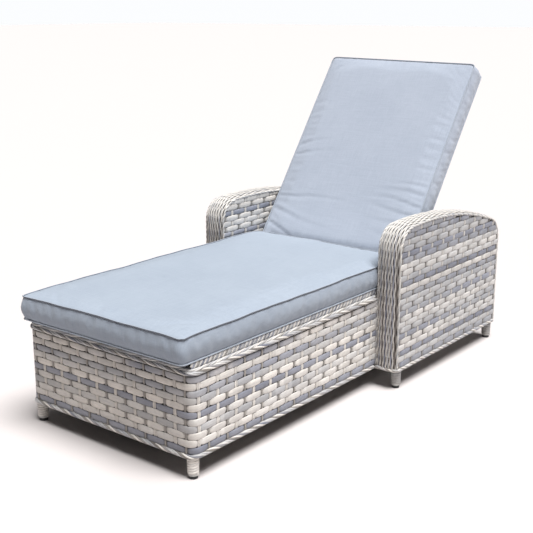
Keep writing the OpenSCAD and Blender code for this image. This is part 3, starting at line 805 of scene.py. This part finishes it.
# ------------------------------ back frame
TUBE_R = (tube_hi.x - tube_lo.x) / 2
SIDE_X = (tube_lo.x + tube_hi.x) / 2
BACK_LOW = 0.018      # the weave starts this far above the hinge
BACK_L = (panel_hi.z - HINGE[2] - 0.017 * math.cos(BACK_ANGLE)) / math.sin(BACK_ANGLE)
BACK_ROWS = 40
BACK_RISE = 0.0152    # its middle surface lies this far out of the back, from the hinge
back = Strands()
weave(back, plane(HINGE + BACK_RISE * BACK_OUT, X, BACK_DIR, -BACK_OUT),
      lambda v: (EDGE - panel_hi.x, panel_hi.x - EDGE), BACK_LOW, BACK_ROWS, INNER_TONES, 71,
      row=(BACK_L - BACK_LOW) / BACK_ROWS, warp=ARM_WARP, step=0.008)
back.make("back_weave", "backrest", ["back_panel"])
FRAME_TONES = [(PALE, GREY)]
FRAME_T = 0.0009      # half the thickness of the strands round the back's tubes
CROSS_R = 0.0110      # radius of the strands round the top cross tube
frame_wrap = Strands()
for s, _ in SIDES:
    wrap(frame_wrap, HINGE + s * SIDE_X * X + BACK_LOW * BACK_DIR, BACK_DIR,
         round_outline(TUBE_R - 0.0006, X, BACK_OUT), WRAP_PITCH, BACK_L - BACK_LOW, FRAME_TONES, 73 + s,
         FRAME_T, 16)
wrap(frame_wrap, HINGE + (BACK_L - TUBE_R) * BACK_DIR - (SIDE_X - TUBE_R) * X, X,
     round_outline(CROSS_R, -BACK_DIR, BACK_OUT), WRAP_PITCH, 2 * (SIDE_X - TUBE_R), FRAME_TONES, 77,
     FRAME_T, 16)
frame_wrap.make("back_frame_wrap", "backrest")

# ------------------------------ cushions
CUSHION_T = seat_hi.z - seat_lo.z
CUSHION_CORNER = 0.014
CUSHION_CELL = 0.0095


def rounded(p, half, r):
    """Moves the points of a rectangle so that its corners become round."""
    inner = half - r
    d = np.maximum(np.abs(p) - inner, 0)
    both = (d[:, 0] > 0) & (d[:, 1] > 0)
    k = np.ones(len(p))
    k[both] = np.max(d[both], axis=1) / np.linalg.norm(d[both], axis=1)
    return np.sign(p) * (np.minimum(np.abs(p), inner) + d * k[:, None])


def cushion_mesh(size):
    """Top, bottom and boxing as one closed grid: its points, its quads, which points lie along the top's rim,
    and how many the top has. The bottom's points follow in the same order, and the boxing's come last."""
    half = np.array(size) / 2
    nx, ny = (round(s / CUSHION_CELL) for s in size)
    nz = max(4, round(CUSHION_T / CUSHION_CELL))
    gx, gy = np.linspace(-half[0], half[0], nx + 1), np.linspace(-half[1], half[1], ny + 1)
    flat = rounded(np.stack(np.meshgrid(gx, gy, indexing="ij"), -1).reshape(-1, 2), half, CUSHION_CORNER)
    index = np.arange((nx + 1) * (ny + 1)).reshape(nx + 1, ny + 1)
    face = np.stack([index[:-1, :-1], index[1:, :-1], index[1:, 1:], index[:-1, 1:]], -1).reshape(-1, 4)
    rim = np.concatenate([index[:-1, 0], index[-1, :-1], index[1:, -1][::-1], index[0, 1:][::-1]])
    n, m = len(flat), len(rim)

    def layer(xy, z):
        return np.column_stack([xy, np.full(len(xy), z)])
    points = [layer(flat, CUSHION_T), layer(flat, 0)]
    points += [layer(flat[rim], CUSHION_T * k / nz) for k in range(1, nz)]
    levels = [rim + n] + [2 * n + m * k + np.arange(m) for k in range(nz - 1)] + [rim]
    quads = [face, face[:, ::-1] + n]
    for low, high in zip(levels[:-1], levels[1:]):
        quads.append(np.stack([low, np.roll(low, -1), np.roll(high, -1), high], -1))
    return np.concatenate(points), np.concatenate(quads), rim, n


def places_of(mesh_data):
    """The places of a mesh's points."""
    co = np.zeros(len(mesh_data.vertices) * 3, np.float32)
    mesh_data.vertices.foreach_get("co", co)
    return co.reshape(-1, 3)


def cushion(name, node, body, materials, size, to_world, seed, crown, bulge, fold):
    """A boxed cushion: crowned faces between two piped seams, and sides that swell between them.
    Returns the places of its upper and its lower seam."""
    flat, quads, rim, n = cushion_mesh(size)
    half = np.array(size) / 2
    top, sides = slice(0, n), slice(2 * n, None)
    points = flat.copy()
    edge = np.min(half - np.abs(flat[:, :2]), axis=1)
    points[top, 2] += crown * (1 - np.exp(-np.maximum(edge[top], 0) / 0.075))
    past = np.maximum(np.abs(flat[:, :2]) - (half - CUSHION_CORNER), 0)
    outward = unit(np.sign(flat[:, :2]) * (past + 1e-9))
    swell = np.sin(math.pi * flat[:, 2] / CUSHION_T) * bulge
    points[sides, :2] += (outward * swell[:, None])[sides]
    fold(points, flat, half, top, sides, outward, seed)
    obj = new_object(name, to_world(points), quads, body, materials[0])
    # the boxing takes the second material; on the seat that is a darker copy of the cloth, a painted shade
    obj.data.materials.append(materials[1])
    obj.data.polygons.foreach_set("material_index", (quads.max(axis=1) >= 2 * n).astype(np.int32))
    inflate(obj, [*rim.tolist(), *range(n, 2 * n)], 0.010)
    after = places_of(obj.data)
    # the arms hold the sides in
    limit = np.where(after[:, 1] > ARM_Y0 - 0.02, HALF_W - 0.001, HALF_W + 0.01)
    after[:, 0] = np.clip(after[:, 0], -limit, limit)
    obj.data.vertices.foreach_set("co", after.ravel())
    smooth = obj.modifiers.new("smooth_surface", "SUBSURF")
    smooth.levels = smooth.render_levels = 1
    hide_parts(node, node.replace("cover", "foam"))
    return after[rim], after[rim + n]


def inflate(obj, held, cap):
    """Blows the cushion up a little as cloth between its held points, and keeps the result in the mesh."""
    rest = places_of(obj.data)
    obj.vertex_groups.new(name="pin").add(held, 1.0, "REPLACE")
    cloth = obj.modifiers.new("Cloth", "CLOTH")
    settings = cloth.settings
    settings.quality = 4
    settings.mass = 0.25
    settings.tension_stiffness = settings.compression_stiffness = 12
    settings.shear_stiffness = 4
    settings.bending_stiffness = 0.35
    settings.use_pressure = True
    settings.uniform_pressure_force = 2.4
    settings.effector_weights.gravity = 0
    settings.vertex_group_mass = "pin"
    settings.shrink_min = -0.007
    cloth.collision_settings.use_collision = False
    for f in range(1, 17):
        scene.frame_set(f)
    now = places_of(obj.evaluated_get(bpy.context.evaluated_depsgraph_get()).data)
    obj.modifiers.remove(cloth)
    obj.vertex_groups.clear()
    scene.frame_set(1)
    move = now - rest
    far = np.linalg.norm(move, axis=1, keepdims=True)
    obj.data.vertices.foreach_set("co", (rest + move * np.minimum(1, cap / np.maximum(far, 1e-9))).ravel())
    obj.data.update()


def piping(name, node, loops, radius, body, materials, is_painted_shade):
    """A covered cord sewn along each seam. The last argument picks, from each face's downward lean and place,
    the first loop's faces that take the first material: a darker copy of the cord's cloth that paints shade.
    """
    ring = 8
    a = np.arange(ring) * TAU / ring
    verts, quads, count = [], [], 0
    for loop in loops:
        line = unit(np.roll(loop, -1, 0) - np.roll(loop, 1, 0))
        out = loop - loop.mean(0)
        out = unit(out - line * np.sum(out * line, -1, keepdims=True))
        up = np.cross(line, out)
        verts.append((loop[:, None] + out[:, None] * (radius * (0.55 + np.cos(a)))[:, None]
                      + up[:, None] * (radius * np.sin(a))[:, None]).reshape(-1, 3))
        quads.append(tube_quads(len(loop), ring, closed=True) + count)
        count += len(loop) * ring
    obj = new_object(name, np.concatenate(verts), np.concatenate(quads), body, materials[0])
    obj.data.materials.append(materials[1])
    dark = np.broadcast_to(is_painted_shade(np.sin(a + a[1] / 2), loops[0][:, None]), (len(loops[0]), ring))
    index = np.ones(count, np.int32)
    index[:dark.size] = ~dark.ravel()
    obj.data.polygons.foreach_set("material_index", index)
    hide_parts(node)


def seat_folds(points, flat, half, top, sides, outward, seed):
    """Upright puckers in the boxing, deepest at the corners, and a soft roll near the seams."""
    x, y, z = flat.T
    along = np.where(np.abs(x) > half[0] - 0.025, y, x + 2.0)
    inward = half - np.abs(flat[:, :2])
    pucker = wander(along, seed, (0.061, 0.036, 0.021)) * 0.0011 * np.sin(math.pi * z / points[:, 2].max())
    crease = np.sin(along / 0.0070 + z * 55) * 0.0026 * np.exp(-inward.sum(1) / 0.07)
    points[sides, :2] += (outward * (pucker + crease)[:, None])[sides]
    points[top, 2] += wander(x + y * 0.6, seed + 1, (0.9, 0.5, 0.33))[top] * 0.0012
    near_edge = np.exp(-inward.min(axis=1) / 0.02) * z / z.max()
    seam = wander(x + y, seed + 2, (0.41, 0.23, 0.12)) * 0.0014
    points[:, 2] += near_edge * (seam - 0.005 * np.exp(-inward.sum(1) / 0.05))


# the back's creases: height up the back from 0 to 1, reach and depth in metres, rise towards the middle
LEFT_CREASES = [
    (0.73, 0.05, 0.0013, 0.10), (0.68, 0.06, 0.0016, 0.05), (0.50, 0.10, 0.0040, 0.25),
    (0.455, 0.12, 0.0036, 0.12), (0.34, 0.07, 0.0014, 0.10), (0.23, 0.24, 0.0034, 0.02),
    (0.155, 0.20, 0.0030, -0.20), (0.095, 0.15, 0.0040, -0.45)]
RIGHT_CREASES = [
    (0.60, 0.08, 0.0016, 0.00), (0.45, 0.08, 0.0014, 0.05), (0.36, 0.11, 0.0022, 0.03),
    (0.315, 0.14, 0.0032, 0.05), (0.265, 0.17, 0.0034, 0.08), (0.215, 0.17, 0.0030, 0.10),
    (0.15, 0.14, 0.0026, 0.12), (0.08, 0.12, 0.0024, 0.15)]


def back_folds(points, flat, half, top, sides, outward, seed):
    """Creases that run in from both sides low on the back, a heavier lower edge, and a slipped top."""
    x, y, z = flat.T
    t = (y + half[1]) / (2 * half[1])
    r = np.random.default_rng(seed)
    lift = 0.015 * np.exp(-(t / 0.15) ** 2) * np.cos(x / half[0] * 1.4)
    for side, creases in ((-1, LEFT_CREASES), (1, RIGHT_CREASES)):
        inward = half[0] - side * x
        for height, reach, deep, slope in creases:
            y0 = half[1] * (2 * height - 1)
            line = y0 + slope * inward + 0.005 * np.sin(inward / 0.05 + y0 * 40)
            across = (y - line) / r.uniform(0.0055, 0.0095)
            fade = np.exp(-(inward / reach) ** 2) * np.clip(inward / 0.012, 0, 1)
            lift -= deep * (np.exp(-across ** 2) - 0.6 * np.exp(-(across - 1.7) ** 2)) * fade
    points[top, 2] += lift[top]
    gather = np.sin((y + 0.5 * z) / 0.0042) * 0.0012 * np.exp(-((t - 0.55) / 0.22) ** 2)
    pucker = (wander(x + y, seed, (0.067, 0.031, 0.019)) * 0.0013 + gather) * np.sin(math.pi * z / z.max())
    points[sides, :2] += (outward * pucker[:, None])[sides]
    points[:, 0] += 0.006 * t ** 2      # the loose cushion has slipped a little sideways at its top
    points[:, 1] -= 0.005 * x / half[0] * t ** 3


seat_size = (seat_hi.x - seat_lo.x, seat_hi.y - seat_lo.y)
seat_start = [*((seat_lo + seat_hi) / 2).xy, seat_lo.z]
seat_top, seat_low = cushion("seat_cushion", "seat_cushion_cover", "base", (SEAT_CLOTH, SEAT_SIDE_PAINTED_SHADE_CLOTH),
                             seat_size, lambda p: p + seat_start, 11, 0.008, 0.0095, seat_folds)
# the upper cord is dark everywhere but on its upward faces: a painted shadow under the cord, whose real cloth
# is the pale one
piping("seat_piping", "seat_cushion_piping", [seat_top, seat_low], 0.0026, "base", [PIPING_PAINTED_SHADOW, PIPING_PALE],
       lambda down, place: down > -0.5)

CUSHION_LOW = 0.015   # distance from the hinge to the back cushion's lower edge, along the back
CUSHION_RISE = 0.0175     # distance from the hinge to its underside, out of the back
BACK_SEAM_RISE = 0.0030   # its lower piping lies this far above its underside
height = back_hi.z - HINGE[2] - (CUSHION_RISE + CUSHION_T) * math.cos(BACK_ANGLE)
back_size = (back_hi.x - back_lo.x, height / math.sin(BACK_ANGLE) - CUSHION_LOW)


def back_world(p):
    along = p[:, 1] + back_size[1] / 2 + CUSHION_LOW
    return HINGE + p[:, :1] * X + along[:, None] * BACK_DIR + (p[:, 2:] + CUSHION_RISE) * BACK_OUT


back_top, back_low = cushion("back_cushion", "back_cushion_cover", "backrest", (BACK_PAINTED_LIGHT_CLOTH, BACK_PAINTED_LIGHT_CLOTH),
                             back_size, back_world, 12, 0.006, 0.0060, back_folds)
# the front cord is darker along the cushion's top edge than down its sides: painted shade
piping("back_piping", "back_cushion_piping", [back_top, back_low + BACK_SEAM_RISE * BACK_OUT], 0.0024,
       "backrest", [PIPING_PAINTED_SHADE, PIPING_PALE],
       lambda down, place: place[..., 2] > back_top[:, 2].max() - 0.020)

# ------------------------------ camera, light and floor
AZIMUTH, ELEVATION, DISTANCE, LENS = 38.47, 14.79, 3.443, 66.32
TARGET = Vector((0.0001, FOOT_Y + 0.7681, 0.4110))
a, e = math.radians(AZIMUTH), math.radians(ELEVATION)
toward = Vector((math.sin(a) * math.cos(e), -math.cos(a) * math.cos(e), math.sin(e)))
camera = bpy.data.objects.new("camera", bpy.data.cameras.new("camera"))
scene.collection.objects.link(camera)
camera.location = TARGET + toward * DISTANCE
camera.rotation_mode = "QUATERNION"
camera.rotation_quaternion = (-toward).to_track_quat("-Z", "Y")
camera.data.lens = LENS
camera.data.sensor_width = 36
scene.camera = camera

sun = bpy.data.objects.new("softbox", bpy.data.lights.new("softbox", "SUN"))
scene.collection.objects.link(sun)
sun.data.energy = 5.8
sun.data.angle = math.radians(34)
sun.rotation_mode = "QUATERNION"
sun.rotation_quaternion = Vector((0.30, -0.05, 0.95)).to_track_quat("Z", "Y")

# a sky that is bright at the horizon and dark above
world = bpy.data.worlds.new("studio")
scene.world = world
world.use_nodes = True
tree = world.node_tree
height = add_node(tree, "ShaderNodeSeparateXYZ")
feed(tree, height, {0: add_node(tree, "ShaderNodeTexCoord").outputs["Generated"]})
fall = add_node(tree, "ShaderNodeMapRange")
feed(tree, fall, {"Value": height.outputs["Z"], "From Min": 0.012, "From Max": 0.04, "To Min": 1.0,
                  "To Max": 0.08})
feed(tree, tree.nodes["Background"], {"Color": (0.97, 0.985, 1.0, 1), "Strength": fall.outputs["Result"]})
scene.view_settings.view_transform = "Standard"

floor_mesh = bpy.data.meshes.new("floor")
floor_mesh.from_pydata([(-60, -60, 0), (60, -60, 0), (60, 60, 0), (-60, 60, 0)], [], [(0, 1, 2, 3)])
floor = bpy.data.objects.new("floor", floor_mesh)
scene.collection.objects.link(floor)
floor_material, tree, shader = nodes_of("pale_floor")
feed(tree, shader, {"Base Color": (0.595, 0.555, 0.545, 1), "Roughness": 0.9})
floor_mesh.materials.append(floor_material)
